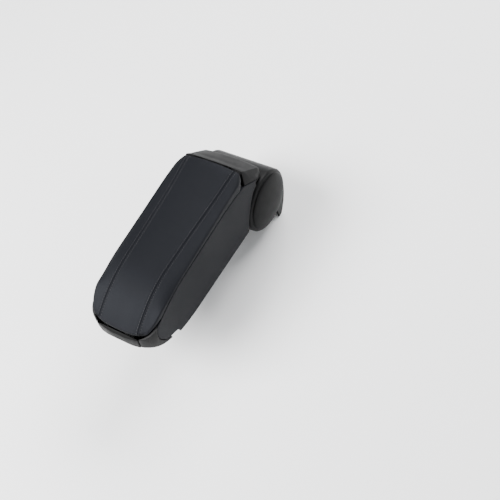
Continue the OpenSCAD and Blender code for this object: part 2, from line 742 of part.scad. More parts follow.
module latch_lever() {
    back_y = -latch_fwd - lug_r - 0.6;
    tip_y = striker_y + 1.6;
    hook_top = striker_z - striker_d / 2 - hook_gap;
    color([0.16, 0.16, 0.17]) difference() {
        union() {
            // Bar with a sloping top, its face bowed in plan as the nose is
            intersection() {
                across(-lever_w / 2, lever_w / 2) translate([-latch_fwd, latch_z])
                    polygon([[-lug_r - 0.6, 0.1], [-lug_r - 1.2, 0.8], [-lever_t - lug_r, -0.9],
                        [-lever_t - lug_r - 0.3, -11], [-lever_t - lug_r + 1, 1 - lever_h],
                        [-lug_r - 1.2, 1.2 - lever_h], [-lug_r - 0.6, -10]]);
                translate([0, lever_bow - latch_fwd - lever_t - lug_r - 0.3, 0])
                    cylinder(h = 300, r = lever_bow, $fn = 360);
            }
            for (s = [-1, 1]) {
                span(s * 17.5 - 1.5, s * 17.5 + 1.5, -latch_fwd - lug_r - 1.5, -latch_fwd,
                    latch_z - lug_r, latch_z + 0.1);
                bar_x(s * 17.5 - 1.5, s * 17.5 + 1.5, -latch_fwd, latch_z, lug_r);
            }
            across(-5.5, 5.5) polygon([[back_y - 1, 127], [back_y - 1, 119.2], [back_y + 2, 118.8],
                [tip_y, 119], [tip_y, hook_top], [back_y + 3, hook_top], [back_y, 127]]);
        }
        bar_x(-30, 30, -latch_fwd, latch_z, latch_pin_d / 2 + run_fit);
    }
}

foot_bracket();
hinge_shroud();
end_cap_left();
end_cap_right();
pivot_axle();
axle_nut();
friction_washers();
shroud_screws();
arm_tongue();
storage_tub();
tub_liner();
side_panel_left();
side_panel_right();
front_bezel();
rear_cover();
cover_screws();
bottom_cover();
bottom_screws();
tongue_screws();
lid_hinge_pin();
latch_striker();
striker_screws();
lid_frame();
lid_pad();
lid_buffers();
latch_pin();
latch_spring();
latch_lever();
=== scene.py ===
"""Dresses a folding centre armrest: padded lid, leather side panels, trim shells and barrel hinge.

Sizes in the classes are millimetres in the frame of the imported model: +X right, -Y towards the nose, +Z up.
"""

import json
import logging
import math
from dataclasses import dataclass
from enum import Enum
from typing import Any, Callable, Iterable, Optional, Sequence

import bmesh
import bpy
from bpy.types import Material, Node, NodeSocket, NodeTree, Object
from mathutils import Matrix, Vector
from mathutils.bvhtree import BVHTree
from mathutils.kdtree import KDTree


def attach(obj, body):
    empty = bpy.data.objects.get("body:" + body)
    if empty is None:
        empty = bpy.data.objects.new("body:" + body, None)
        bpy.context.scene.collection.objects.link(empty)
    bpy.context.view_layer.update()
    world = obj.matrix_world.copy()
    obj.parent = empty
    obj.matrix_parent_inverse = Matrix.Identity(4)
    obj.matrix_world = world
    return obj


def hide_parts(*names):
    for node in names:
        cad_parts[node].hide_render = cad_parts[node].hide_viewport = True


LOG = logging.getLogger("armrest")
MM = 0.001
MERGE = 1e-6
Rule = Callable[[Vector], Vector]
Test = Callable[[Any], bool]
Triple = tuple[float, float, float]


class Part(Enum):
    """Kind of mesh element that an edit works on."""

    EDGE = "EDGE"
    FACE = "FACE"


class Slot(Enum):
    """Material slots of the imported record."""

    STEEL = "steel"
    BRACKET = "bracket"
    BRASS = "brass"
    TRIM = "trim_plastic"
    TUB = "tub_plastic"
    LEATHER = "leather"
    RUBBER = "rubber"


def put(name: str, data: Any) -> Object:
    """A new object in the scene with this data."""
    obj = bpy.data.objects.new(name, data)
    bpy.context.scene.collection.objects.link(obj)
    return obj


# Modelling bench ---


class Bench:
    """One mesh on the bench, shaped with edit-mode operators. Its sizes are in millimetres."""

    def __init__(self, obj: Object) -> None:
        """Keeps the object that is being shaped."""
        self.obj = obj

    @staticmethod
    def clear() -> None:
        """Leaves edit mode and deselects everything."""
        if bpy.context.object and bpy.context.object.mode != "OBJECT":
            bpy.ops.object.mode_set(mode="OBJECT")
        bpy.ops.object.select_all(action="DESELECT")

    @classmethod
    def _taken(cls, name: str) -> "Bench":
        """Names the primitive that was just added and puts its place into its mesh."""
        obj = bpy.context.object
        obj.name = name
        obj.data.name = name
        bpy.ops.object.transform_apply(location=True, rotation=True, scale=True)
        return cls(obj)

    @classmethod
    def cube(cls, name: str, low: Sequence[float], high: Sequence[float]) -> "Bench":
        """A box between two corners.

        Args:
            name: its name.
            low: lowest corner.
            high: highest corner.

        Returns:
            The box.
        """
        cls.clear()
        bpy.ops.mesh.primitive_cube_add(size=1, location=[(a + b) / 2 * MM for a, b in zip(low, high)])
        bpy.context.object.scale = [(b - a) * MM for a, b in zip(low, high)]
        return cls._taken(name)

    @classmethod
    def grid(cls, name: str, columns: int, rows: int) -> "Bench":
        """A flat grid from -1 to 1 mm in X and Y, ready to be shaped.

        Args:
            name: its name.
            columns: number of faces along X.
            rows: number of faces along Y.

        Returns:
            The grid.
        """
        cls.clear()
        bpy.ops.mesh.primitive_grid_add(x_subdivisions=columns, y_subdivisions=rows, size=2 * MM)
        return cls._taken(name)

    @classmethod
    def lathe(cls, name: str, profile: Sequence[tuple[float, float]], steps: int = 96) -> "Bench":
        """Spins a profile round the X axis.

        Args:
            name: its name.
            profile: pairs of X and radius, from one end of the axis to the other.
            steps: number of faces round.

        Returns:
            The turned piece, with its faces outwards.
        """
        cls.clear()
        bpy.ops.mesh.primitive_circle_add(vertices=3, radius=MM)
        bench = cls._taken(name)
        bpy.ops.object.mode_set(mode="EDIT")
        bpy.ops.mesh.select_mode(type="VERT")
        bpy.ops.mesh.select_all(action="SELECT")
        bpy.ops.mesh.delete(type="VERT")
        mesh = bmesh.from_edit_mesh(bench.obj.data)
        points = [mesh.verts.new(Vector((x, 0, r)) * MM) for x, r in profile]
        for a, b in zip(points, points[1:]):
            mesh.edges.new((a, b))
        bmesh.update_edit_mesh(bench.obj.data)
        bpy.ops.mesh.select_all(action="SELECT")
        bpy.ops.mesh.spin(steps=steps, angle=2 * math.pi, center=(0, 0, 0), axis=(1, 0, 0))
        return bench.outward()

    @classmethod
    def copy_of(cls, name: str, node: Object) -> "Bench":
        """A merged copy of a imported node, with its flat faces made whole.

        Args:
            name: its name.
            node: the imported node's object.

        Returns:
            The copy.
        """
        cls.clear()
        bench = cls(put(name, node.data.copy()))
        bench.obj.data.name = name
        bench.wake()
        bpy.ops.mesh.select_all(action="SELECT")
        bpy.ops.mesh.remove_doubles(threshold=2 * MERGE)
        bpy.ops.mesh.dissolve_limited(angle_limit=math.radians(0.6))
        cls.clear()
        return bench

    def hold(self) -> None:
        """Makes this the only selected object."""
        self.clear()
        bpy.context.view_layer.objects.active = self.obj
        self.obj.select_set(True)

    def wake(self) -> None:
        """Makes this the only selected object and enters edit mode."""
        self.hold()
        bpy.ops.object.mode_set(mode="EDIT")

    def pick(self, part: Part, test: Test) -> int:
        """Selects the elements that pass a test, and stays in edit mode.

        Args:
            part: edges or faces.
            test: says whether an element is taken.

        Returns:
            How many were taken.
        """
        self.wake()
        bpy.ops.mesh.select_mode(type=part.value)
        bpy.ops.mesh.select_all(action="DESELECT")
        mesh = bmesh.from_edit_mesh(self.obj.data)
        rows = mesh.edges if part is Part.EDGE else mesh.faces
        taken = [e for e in rows if test(e)]
        for e in taken:
            e.select_set(True)
        mesh.select_flush_mode()
        bmesh.update_edit_mesh(self.obj.data)
        return len(taken)

    def place(self, rule: Rule, picked: bool = False) -> "Bench":
        """Moves vertices to where a rule puts them.

        Args:
            rule: takes and gives a point in millimetres.
            picked: whether only the vertices that are selected in edit mode move.

        Returns:
            This bench.
        """
        if picked:
            rows = [v for v in bmesh.from_edit_mesh(self.obj.data).verts if v.select]
        else:
            self.clear()
            rows = self.obj.data.vertices
        for v in rows:
            v.co = rule(v.co / MM) * MM
        if picked:
            bmesh.update_edit_mesh(self.obj.data)
        else:
            self.obj.data.update()
        return self

    def bevel(self, width: float, segments: int, test: Test) -> "Bench":
        """Rounds the edges that pass a test.

        Args:
            width: distance of the rounding from the edge.
            segments: number of faces across it.
            test: says whether an edge is rounded.

        Returns:
            This bench.
        """
        if self.pick(Part.EDGE, test):
            bpy.ops.mesh.bevel(offset=width * MM, segments=segments, affect="EDGES", clamp_overlap=True)
        self.clear()
        return self

    def modify(self, kind: str, **settings: Any) -> "Bench":
        """Adds a modifier and applies it.

        Args:
            kind: the modifier's type.
            settings: its values.

        Returns:
            This bench.
        """
        self.hold()
        modifier = self.obj.modifiers.new(kind.lower(), kind)
        for key, value in settings.items():
            setattr(modifier, key, value)
        bpy.ops.object.modifier_apply(modifier=modifier.name)
        return self

    def smooth(self, degrees: float) -> "Bench":
        """Shades faces smooth across edges up to an angle."""
        self.hold()
        bpy.ops.object.shade_smooth_by_angle(angle=math.radians(degrees))
        return self

    def outward(self) -> "Bench":
        """Merges doubles and turns all faces outwards."""
        self.wake()
        bpy.ops.mesh.select_all(action="SELECT")
        bpy.ops.mesh.remove_doubles(threshold=MERGE)
        bpy.ops.mesh.normals_make_consistent(inside=False)
        self.clear()
        return self

    def join(self, others: Iterable["Bench"]) -> "Bench":
        """Takes other pieces into this one.

        Args:
            others: the benches whose meshes are joined to this one.

        Returns:
            This bench.
        """
        self.clear()
        for other in others:
            other.obj.select_set(True)
        self.obj.select_set(True)
        bpy.context.view_layer.objects.active = self.obj
        bpy.ops.object.join()
        return self

    def done(self, body: str, slot: Slot, finish: "Finish", replaces: Sequence[str] = ()) -> Object:
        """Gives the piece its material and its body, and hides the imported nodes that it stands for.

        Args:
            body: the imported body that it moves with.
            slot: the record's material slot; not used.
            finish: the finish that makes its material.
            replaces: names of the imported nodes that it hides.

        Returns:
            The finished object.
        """
        self.clear()
        self.obj.data.materials.clear()
        self.obj.data.materials.append(finish.material())
        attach(self.obj, body)
        if replaces:
            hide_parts(*replaces)
        LOG.info("%s: %d faces on %s", self.obj.name, len(self.obj.data.polygons), body)
        return self.obj


# Shader groups and finishes ---


class Sheet:
    """Adds and links nodes in one node tree."""

    def __init__(self, tree: NodeTree) -> None:
        """Keeps the tree that is being written."""
        self.tree = tree

    def feed(self, socket: NodeSocket, value: Any) -> None:
        """Links an output to an input socket, or sets the input's value."""
        if isinstance(value, NodeSocket):
            self.tree.links.new(value, socket)
        else:
            socket.default_value = value

    def add(self, kind: str, values: Optional[dict[Any, Any]] = None, **settings: Any) -> Node:
        """Adds a node.

        Args:
            kind: the node's type name.
            values: values or links of its input sockets, by name or number.
            settings: its own properties.

        Returns:
            The node.
        """
        node = self.tree.nodes.new(kind)
        for key, value in settings.items():
            setattr(node, key, value)
        for key, value in (values or {}).items():
            self.feed(node.inputs[key], value)
        return node

    def maths(self, operation: str, a: Any, b: Any = 0.0) -> NodeSocket:
        """Output of a Math node with two inputs."""
        return self.add("ShaderNodeMath", {0: a, 1: b}, operation=operation).outputs[0]

    def blend(self, factor: Any, a: Any, b: Any) -> NodeSocket:
        """Output of a colour Mix node."""
        return self.add("ShaderNodeMix", {0: factor, 6: a, 7: b}, data_type="RGBA").outputs[2]

    def span(self, value: Any, low: float, high: float) -> NodeSocket:
        """A 0 to 1 value stretched to a range."""
        return self.add("ShaderNodeMapRange", {"Value": value, "To Min": low, "To Max": high}).outputs[0]

    def noise(self, vector: Any, scale: Any, detail: float, roughness: float = 0.5) -> NodeSocket:
        """Strength output of a Noise Texture node."""
        values = {"Vector": vector, "Scale": scale, "Detail": detail, "Roughness": roughness}
        return self.add("ShaderNodeTexNoise", values).outputs[0]


Writer = Callable[[Sheet, Any, Any], Sequence[Any]]


def _group(name: str, amount: tuple[str, float], outputs: Sequence[str], write: Writer) -> NodeTree:
    """A shader group, built once, that turns a vector and one amount into float outputs.

    Args:
        name: the group's name.
        amount: name and first value of the input beside Vector.
        outputs: names of its outputs.
        write: writes the nodes from the two inputs, and gives the outputs' sources in order.

    Returns:
        The group.
    """
    if name in bpy.data.node_groups:
        return bpy.data.node_groups[name]
    tree = bpy.data.node_groups.new(name, "ShaderNodeTree")
    tree.interface.new_socket("Vector", in_out="INPUT", socket_type="NodeSocketVector")
    socket = tree.interface.new_socket(amount[0], in_out="INPUT", socket_type="NodeSocketFloat")
    socket.default_value = amount[1]
    for label in outputs:
        tree.interface.new_socket(label, in_out="OUTPUT", socket_type="NodeSocketFloat")
    sheet = Sheet(tree)
    inside, outside = sheet.add("NodeGroupInput"), sheet.add("NodeGroupOutput")
    for label, source in zip(outputs, write(sheet, *inside.outputs[:2])):
        sheet.feed(outside.inputs[label], source)
    return tree


def _pebbles(sheet: Sheet, vector: Any, cells: Any) -> Sequence[Any]:
    """Leather grain: small pebbles with creases between them, broken up, and slow changes of tone."""
    warp = sheet.add("ShaderNodeTexNoise", {"Vector": vector, "Scale": 160.0, "Detail": 2.0}).outputs["Color"]
    bent = sheet.add("ShaderNodeVectorMath", {0: warp, 1: warp, 2: vector}, operation="MULTIPLY_ADD")
    values = {"Vector": bent.outputs[0], "Scale": cells, "Randomness": 0.9}
    edges = sheet.add("ShaderNodeTexVoronoi", values, feature="DISTANCE_TO_EDGE").outputs["Distance"]
    values = {"Value": edges, "From Min": 0.0, "From Max": 0.32}
    rise = sheet.add("ShaderNodeMapRange", values, interpolation_type="SMOOTHSTEP").outputs[0]
    fine = sheet.noise(vector, 3200.0, 2.0)
    height = sheet.maths("ADD", sheet.maths("MULTIPLY", rise, 0.8), sheet.maths("MULTIPLY", fine, 0.35))
    return height, sheet.maths("SUBTRACT", 1.0, rise), sheet.noise(vector, 14.0, 3.0)


def _stipple(sheet: Sheet, vector: Any, grains: Any) -> Sequence[Any]:
    """Moulded grain: the fine even stipple of a spark-eroded tool, uneven gloss and slow changes of tone."""
    coarse = sheet.add("ShaderNodeTexVoronoi", {"Vector": vector, "Scale": grains}, feature="SMOOTH_F1")
    large = sheet.maths("MULTIPLY", coarse.outputs["Distance"], 0.9)
    height = sheet.maths("ADD", large, sheet.maths("MULTIPLY", sheet.noise(vector, 4200.0, 2.0), 0.5))
    return height, sheet.noise(vector, 75.0, 5.0, 0.62), sheet.noise(vector, 22.0, 4.0)


def _streaks(sheet: Sheet, vector: Any, streaks: Any) -> Sequence[Any]:
    """Drawn metal: long fine streaks along one axis."""
    drawn = sheet.add("ShaderNodeMapping", {"Vector": vector, "Scale": (0.04, 1.0, 1.0)}).outputs[0]
    return sheet.noise(drawn, streaks, 3.0), sheet.noise(vector, 60.0, 4.0)


@dataclass(frozen=True)
class Finish:
    """What every finish has: a name and two colours that it varies between."""

    name: str
    dark: Triple
    light: Triple

    def material(self) -> Material:
        """The finish's material, built once."""
        if self.name not in bpy.data.materials:
            material = bpy.data.materials.new(self.name)
            material.use_nodes = True
            material.node_tree.nodes.clear()
            material.diffuse_color = (*self.light, 1)
            sheet = Sheet(material.node_tree)
            shader = sheet.add("ShaderNodeBsdfPrincipled")
            sheet.add("ShaderNodeOutputMaterial", {0: shader.outputs[0]})
            self.write(sheet, shader, sheet.add("ShaderNodeTexCoord").outputs["Object"])
        return bpy.data.materials[self.name]

    def write(self, sheet: Sheet, shader: Node, place: NodeSocket) -> None:
        """Writes the finish's own nodes."""
        raise NotImplementedError

    def tones(self, sheet: Sheet, factor: NodeSocket) -> NodeSocket:
        """The blend of the two colours by a factor."""
        return sheet.blend(factor, (*self.dark, 1), (*self.light, 1))

    @staticmethod
    def grain(sheet: Sheet, group: NodeTree, place: Any, amount: float) -> Sequence[Any]:
        """Outputs of a grain group, fed with the place and its amount."""
        return sheet.add("ShaderNodeGroup", {0: place, 1: amount}, node_tree=group).outputs

    @staticmethod
    def bumped(sheet: Sheet, shader: Node, height: Any, strength: float, distance: float) -> None:
        """Puts a height into the shader's normal."""
        bump = sheet.add("ShaderNodeBump", {"Height": height, "Strength": strength, "Distance": distance})
        sheet.feed(shader.inputs["Normal"], bump.outputs[0])


@dataclass(frozen=True)
class Leather(Finish):
    """Coated leather with a pebbled grain."""

    cells: float = 900.0
    low_gloss: float = 0.58
    high_gloss: float = 0.44
    bump: float = 0.22
    shine: float = 0.12
    crease_shade_dark: float = 0.55
    crease_shade_share: float = 0.3
    crease_dull: float = 0.12

    def write(self, sheet: Sheet, shader: Node, place: NodeSocket) -> None:
        """Grain in the bump, creases duller than the pebbles and darkened with painted shade."""
        group = _group("pebble grain", ("Cells per metre", 900), ("Height", "Crease", "Tone"), _pebbles)
        height, crease, tone = self.grain(sheet, group, place, self.cells)
        shade = self.tones(sheet, sheet.span(tone, 0.1, 0.9))
        # Painted shade: the creases between the pebbles are blended towards a darker colour
        crease_shade_colour = (*[c * self.crease_shade_dark for c in self.dark], 1)
        colour = sheet.blend(sheet.maths("MULTIPLY", crease, self.crease_shade_share), shade, crease_shade_colour)
        dull = sheet.maths("MULTIPLY", crease, self.crease_dull)
        dull = sheet.maths("ADD", sheet.span(tone, self.high_gloss, self.low_gloss), dull)
        sheet.feed(shader.inputs["Base Color"], colour)
        sheet.feed(shader.inputs["Roughness"], dull)
        self.bumped(sheet, shader, height, self.bump, 0.0003)
        shader.inputs["Specular IOR Level"].default_value = self.shine
        shader.inputs["Specular Tint"].default_value = (0.86, 0.9, 1.0, 1)


@dataclass(frozen=True)
class Plastic(Finish):
    """Moulded plastic with a fine eroded grain."""

    grains: float = 1800.0
    gloss: float = 0.38
    spread: float = 0.14
    bump: float = 0.12
    shine: float = 0.12

    def write(self, sheet: Sheet, shader: Node, place: NodeSocket) -> None:
        """Stipple in the bump, uneven gloss from handling."""
        group = _group("moulded grain", ("Grains per metre", 1800), ("Height", "Shine", "Tone"), _stipple)
        height, worn, tone = self.grain(sheet, group, place, self.grains)
        sheet.feed(shader.inputs["Base Color"], self.tones(sheet, tone))
        sheet.feed(shader.inputs["Roughness"], sheet.span(worn, self.gloss, self.gloss + self.spread))
        self.bumped(sheet, shader, height, self.bump, 0.0002)
        shader.inputs["Specular IOR Level"].default_value = self.shine


@dataclass(frozen=True)
class Metal(Finish):
    """Drawn or pressed metal with fine streaks."""

    metallic: float = 1.0
    streaks: float = 2500.0
    gloss: float = 0.28
    spread: float = 0.18
    bump: float = 0.08

    def write(self, sheet: Sheet, shader: Node, place: NodeSocket) -> None:
        """Streaks in the bump and the gloss."""
        group = _group("drawn streaks", ("Streaks per metre", 2500), ("Height", "Tone"), _streaks)
        height, tone = self.grain(sheet, group, place, self.streaks)
        sheet.feed(shader.inputs["Base Color"], self.tones(sheet, tone))
        sheet.feed(shader.inputs["Roughness"], sheet.span(height, self.gloss, self.gloss + self.spread))
        self.bumped(sheet, shader, height, self.bump, 0.0002)
        shader.inputs["Metallic"].default_value = self.metallic


@dataclass(frozen=True)
class Thread(Finish):
    """Twisted sewing thread."""

    twists: float = 1500.0

    def write(self, sheet: Sheet, shader: Node, place: NodeSocket) -> None:
        """Slanting plies across the thread."""
        turned = sheet.add("ShaderNodeMapping", {"Vector": place, "Rotation": (0.0, 0.0, 0.7)}).outputs[0]
        values = {"Vector": turned, "Scale": self.twists, "Distortion": 1.0}
        plies = sheet.add("ShaderNodeTexWave", values).outputs["Fac"]
        sheet.feed(shader.inputs["Base Color"], self.tones(sheet, plies))
        self.bumped(sheet, shader, plies, 0.4, 0.0001)
        shader.inputs["Roughness"].default_value = 0.6


PAD_LEATHER = Leather("pad leather", (0.0029, 0.0031, 0.0042), (0.0039, 0.0041, 0.0054), shine=0.13)
SIDE_LEATHER = Leather("side leather", (0.0031, 0.0032, 0.0043), (0.0041, 0.0042, 0.0055), shine=0.1)
TRIM = Plastic("trim plastic", (0.0030, 0.0030, 0.0033), (0.0043, 0.0043, 0.0046), gloss=0.4, shine=0.1)
CAP = Plastic("cap plastic", (0.0024, 0.0024, 0.0026), (0.0036, 0.0036, 0.0038), gloss=0.42, shine=0.07)
COVER = Plastic("cover plastic", (0.0028, 0.0028, 0.0031), (0.0040, 0.0040, 0.0043), gloss=0.46, shine=0.07)
# Painted shade: the lid frame's plastic is made near black so that it reads as shade in the gaps
GAP_SHADE_PLASTIC = Plastic("frame plastic darkened as gap shade", (0.0008, 0.0008, 0.0009), (0.0013, 0.0013, 0.0014), gloss=0.6, shine=0.05)
# Painted shade: the lever's plastic is darker than the trim to stand in for the shade on its face
SHADED_LEVER_PLASTIC = Plastic("lever plastic with painted shade", (0.0014, 0.0014, 0.0015), (0.0021, 0.0021, 0.0022), gloss=0.4, shine=0.06)
TUB = Plastic("tub plastic", (0.0026, 0.0026, 0.0027), (0.0038, 0.0038, 0.0040), gloss=0.5)
RUBBER = Plastic("rubber", (0.0019,) * 3, (0.0032,) * 3, grains=900.0, gloss=0.7, bump=0.3)
STEEL = Metal("zinc steel", (0.10, 0.102, 0.105), (0.15, 0.15, 0.153))
COATED = Metal("coated steel", (0.030, 0.030, 0.032), (0.045, 0.045, 0.047), metallic=0.3, gloss=0.42)
BRASS = Metal("brass", (0.15, 0.105, 0.045), (0.20, 0.155, 0.075))
# Painted shade: steel made near black so the latch parts seen through the gaps read as shade
GAP_SHADE_STEEL = Metal("steel darkened as gap shade", (0.010, 0.010, 0.010), (0.020, 0.020, 0.021), metallic=0.6, gloss=0.5)
THREAD = Thread("sewing thread", (0.012, 0.012, 0.013), (0.026, 0.026, 0.028))

NODE_FINISH = {
    Slot.STEEL: STEEL,
    Slot.BRACKET: COATED,
    Slot.BRASS: BRASS,
    Slot.TRIM: TRIM,
    Slot.TUB: TUB,
    Slot.LEATHER: SIDE_LEATHER,
    Slot.RUBBER: RUBBER,
}

# Parts that show in the gaps are darker than the rest of their slot: painted shade for the gaps that they sit
# in
NODE_OWN = {name: GAP_SHADE_STEEL for name in ("latch_pin", "latch_spring", "latch_striker", "striker_screws")}
NODE_OWN["lid_frame"] = GAP_SHADE_PLASTIC


# Outline of the arm ---


@dataclass(frozen=True)
class Outline:
    """Curves that the pieces of the arm share, by forward position y, which is negative."""

    half_width: float = 52.0
    nose_start: float = 255.0
    nose_reach: float = 294.0
    pad_reach: float = 288.6
    belly_y: float = -55.0
    belly_z: float = 64.0
    belly_slope: float = 0.078
    chin_start: float = 185.0
    chin_rise: float = 38.5
    rim_z: float = 158.0
    rim_drop: float = 22.0
    rim_dip: float = 6.0
    flank_slope: float = 0.714
    rim_gap: float = 1.4
    pad_z: float = 170.0
    pad_drop: float = 30.0
    pad_corner: float = 4.0
    plan_power: float = 0.36
    arc_end: float = 39.0

    def plan_half(self, y: float, reach: float) -> float:
        """Half width in plan, which rounds off towards the nose."""
        share = clamped((-y - self.nose_start) / (reach - self.nose_start))
        return self.half_width * (1 - share**3) ** self.plan_power

    def front_y(self, x: float, reach: float) -> float:
        """Forward position of the plan's outline at x."""
        share = (1 - clamped(abs(x) / self.half_width) ** (1 / self.plan_power)) ** (1 / 3)
        return -(self.nose_start + (reach - self.nose_start) * share)

    def belly(self, y: float) -> float:
        """Height of the underside."""
        share = max(0.0, (-y - self.chin_start) / (self.nose_reach - self.chin_start))
        return self.belly_z + self.belly_slope * (self.belly_y - y) + self.chin_rise * share**3

    def rim(self, y: float) -> float:
        """Height of the parting line between lid and tub."""
        if y > -self.arc_end:
            return self.rim_z - self.rim_dip - (y + self.arc_end) * self.flank_slope
        dip = self.rim_dip * max(0.0, (y + 110) / (110 - self.arc_end)) ** 2
        return self.rim_z - dip - self.rim_drop * max(0.0, (-200 - y) / 84) ** 1.8

    def pad_top(self, y: float) -> float:
        """Height of the middle of the pad."""
        nose = self.pad_drop * max(0.0, (-195 - y) / 92) ** 2.3
        return self.pad_z - max(0.0, (y + 44) / 12) ** 2 - nose

    def pad_half(self, y: float) -> float:
        """Half width of the pad, which also rounds off at its rear corners."""
        return self.plan_half(y, self.pad_reach) - self.pad_corner * max(0.0, (y + 48) / 16) ** 2.2


OUTLINE = Outline()


def mixed(a: float, b: float, share: float) -> float:
    """The value between a and b at a share."""
    return a + (b - a) * share


def clamped(share: float) -> float:
    """The share kept between 0 and 1."""
    return max(0.0, min(1.0, share))


# Lid ---


# Rings of the rolled edge: distance outwards from the sheet's border, and for the first two the share of
# the way down to the turn, for the others the height above the lid's lower edge
ROLL = ((0.45, 0.3), (0.6, 0.72), (0.8, 1.5), (0.5, 0.3), (-0.4, -0.35), (-1.4, -0.4), (-2.45, 0), (-2.5, 2.2))
# Columns of the grid beside a seam, as distances from it
SEAM_COLUMNS = (-4.6, -2.6, -1.4, -0.6, 0.0, 0.6, 1.4, 2.6, 4.6)

# Settings of the cloth that the foam fills
CLOTH = {
    "vertex_group_mass": "held",
    "use_pressure": True,
    "uniform_pressure_force": 4,
    "tension_stiffness": 5,
    "compression_stiffness": 5,
    "bending_stiffness": 1,
}


@dataclass
class PaddedLid:
    """Foam pad with a stitched leather cover: a crowned middle, two double-stitched seams and rolled edges."""

    rear_y: float = -29.8
    straight_y: float = -236.0
    corner_x: float = 43.0
    inset: float = 0.4
    seam_half: float = 30.4
    seam_turn: float = -225.0
    seam_spread: float = 6.6
    seam_margin: float = 8.0
    seam_drop: float = 1.6
    least_height: float = 4.1
    wall_rise: float = 3.1
    roll_height: float = 3.9
    roll_share: float = 0.62
    roll_turn: float = 1.6
    hinge_y: float = -31.0
    hinge_z: float = 157.0
    hinge_clear: float = 10.4
    flank_slope: float = 0.63
    flank_rise: float = 8.0
    flank_x: float = 43.0
    open_y: float = 0.576
    open_z: float = 0.817
    swing_room: float = 9.0
    swing_crown: float = 2.8
    hinge_far: float = 56.0
    hinge_fade: float = 16.0
    above_hinge: float = 19.0
    above_nose: float = 6.0
    crown: float = 2.4
    crown_end: float = -160.0
    rear_lift: float = 3.2
    edge_lift: float = 2.2
    rear_edge_lift: float = 0.5
    bow: float = 1.2
    bow_half: float = 46.0
    bow_depth: float = 26.0
    side_columns: int = 6
    top_columns: int = 14
    bend_rows: int = 12
    row_step: float = 5.2
    row_ease: float = 1.15
    bend_ease: float = 1.5
    swell_cap: float = 1.9
    swell_frames: int = 20
    start_drop: float = 0.9
    free_edge: float = 12.0
    free_nose: float = 18.0
    free_rear: float = 14.0
    free_seam: float = 9.0
    seam_reach: float = 6.0
    stitch_pitch: float = 3.3
    stitch_row: float = 2.6
    stitch_end: float = -285.5

    def seam_x(self, y: float) -> float:
        """Distance of a seam from the middle."""
        past = y - self.seam_turn
        if past > 0:
            return self.seam_half + self.seam_spread * (past / 180) ** 1.6
        return self.seam_half + 0.8 * (past / 60) ** 2

    def column_x(self, kind: str, value: float, y: float, half: float) -> float:
        """X of a column at y, where the shoulder ends at half."""
        seam = min(self.seam_x(y), half - self.seam_margin)
        if kind == "top":
            return value * (seam + SEAM_COLUMNS[0])
        if kind == "seam":
            return seam + value
        return mixed(seam + SEAM_COLUMNS[-1], half, value)

    def low_z(self, y: float) -> float:
        """Height of the lid's lower edge."""
        return OUTLINE.rim(y) + OUTLINE.rim_gap / 2

    def edge_z(self, y: float) -> float:
        """Height at which the shoulder meets the rolled edge."""
        low, seam = self.low_z(y), self.seam_z(y)
        wall = OUTLINE.rim_z + self.least_height + self.wall_rise * min(1.0, (y + 150) / 75)
        return max(low + min(self.roll_height, self.roll_share * (seam - low)), min(wall, seam - 1.4))

    def seam_z(self, y: float) -> float:
        """Height of the seams."""
        return max(OUTLINE.rim(y) + self.least_height, OUTLINE.pad_top(y) - self.seam_drop)

    def surface_z(self, x: float, y: float) -> float:
        """Height of the stretched cover before it swells."""
        side, seam = abs(x), self.seam_x(y)
        rear = clamped((y + 95) / 55) ** 1.5
        top, low = OUTLINE.pad_top(y) + self.rear_lift * rear, self.seam_z(y) + self.rear_lift * rear
        if side <= seam:
            crown = self.crown * clamped((y - self.crown_end) / 90) * (1 - (side / seam) ** 2)
            return top - (top - low) * (side / seam) ** 3.2 + crown
        edge = self.edge_z(y) + mixed(self.edge_lift * clamped((y + 215) / 70), self.rear_edge_lift, rear)
        share = min(1.0, (side - seam) / max(1.0, OUTLINE.pad_half(y) - self.inset - seam))
        return edge + (low - edge) * (1 - share**2.6)

    def shape_cover(self) -> Bench:
        """The cover's upper sheet, from a grid whose rows bend round the nose.

        Its columns are shares of the middle, distances from the seam and shares of the shoulder.
        """
        right = [("top", i / self.top_columns) for i in range(self.top_columns)]
        right += [("seam", d) for d in SEAM_COLUMNS]
        right += [("side", i / self.side_columns) for i in range(1, self.side_columns + 1)]
        whole = [(kind, value, -1) for kind, value in reversed(right[1:])]
        whole += [(kind, value, 1) for kind, value in right]
        straight = max(2, round((self.rear_y - self.straight_y) / self.row_step))
        rows = straight + self.bend_rows
        corner_y = OUTLINE.front_y(self.corner_x, OUTLINE.pad_reach)

        def rule(p: Vector) -> Vector:
            """Place of a grid point on the cover."""
            kind, value, sign = whole[round((p.x + 1) / 2 * (len(whole) - 1))]
            row = round((1 - p.y) / 2 * rows)
            if row <= straight:
                y = mixed(self.rear_y, self.straight_y, (row / straight) ** self.row_ease)
                x = self.column_x(kind, value, y, OUTLINE.pad_half(y) - self.inset)
                bow = self.bow * max(0.0, 1 - (x / self.bow_half) ** 4)
                return self.lowered(sign * x, y, y + bow * max(0.0, 1 - (self.rear_y - y) / self.bow_depth))
            share = 1 - (1 - (row - straight) / self.bend_rows) ** self.bend_ease
            end_y = mixed(self.straight_y, corner_y, share)
            x = self.column_x(kind, value, end_y, OUTLINE.plan_half(end_y, OUTLINE.pad_reach) - self.inset)
            y = mixed(self.straight_y, OUTLINE.front_y(x, OUTLINE.pad_reach) + 2 * self.inset, share)
            return self.lowered(sign * x, y, y)

        return Bench.grid("lid_cover", len(whole) - 1, rows).place(rule)

    def lowered(self, x: float, y: float, place_y: float) -> Vector:
        """Point of the cover before it swells, with the form of y put at place_y."""
        return Vector((x, place_y, self.surface_z(x, y) - self.start_drop * self.freedom(x, y)))

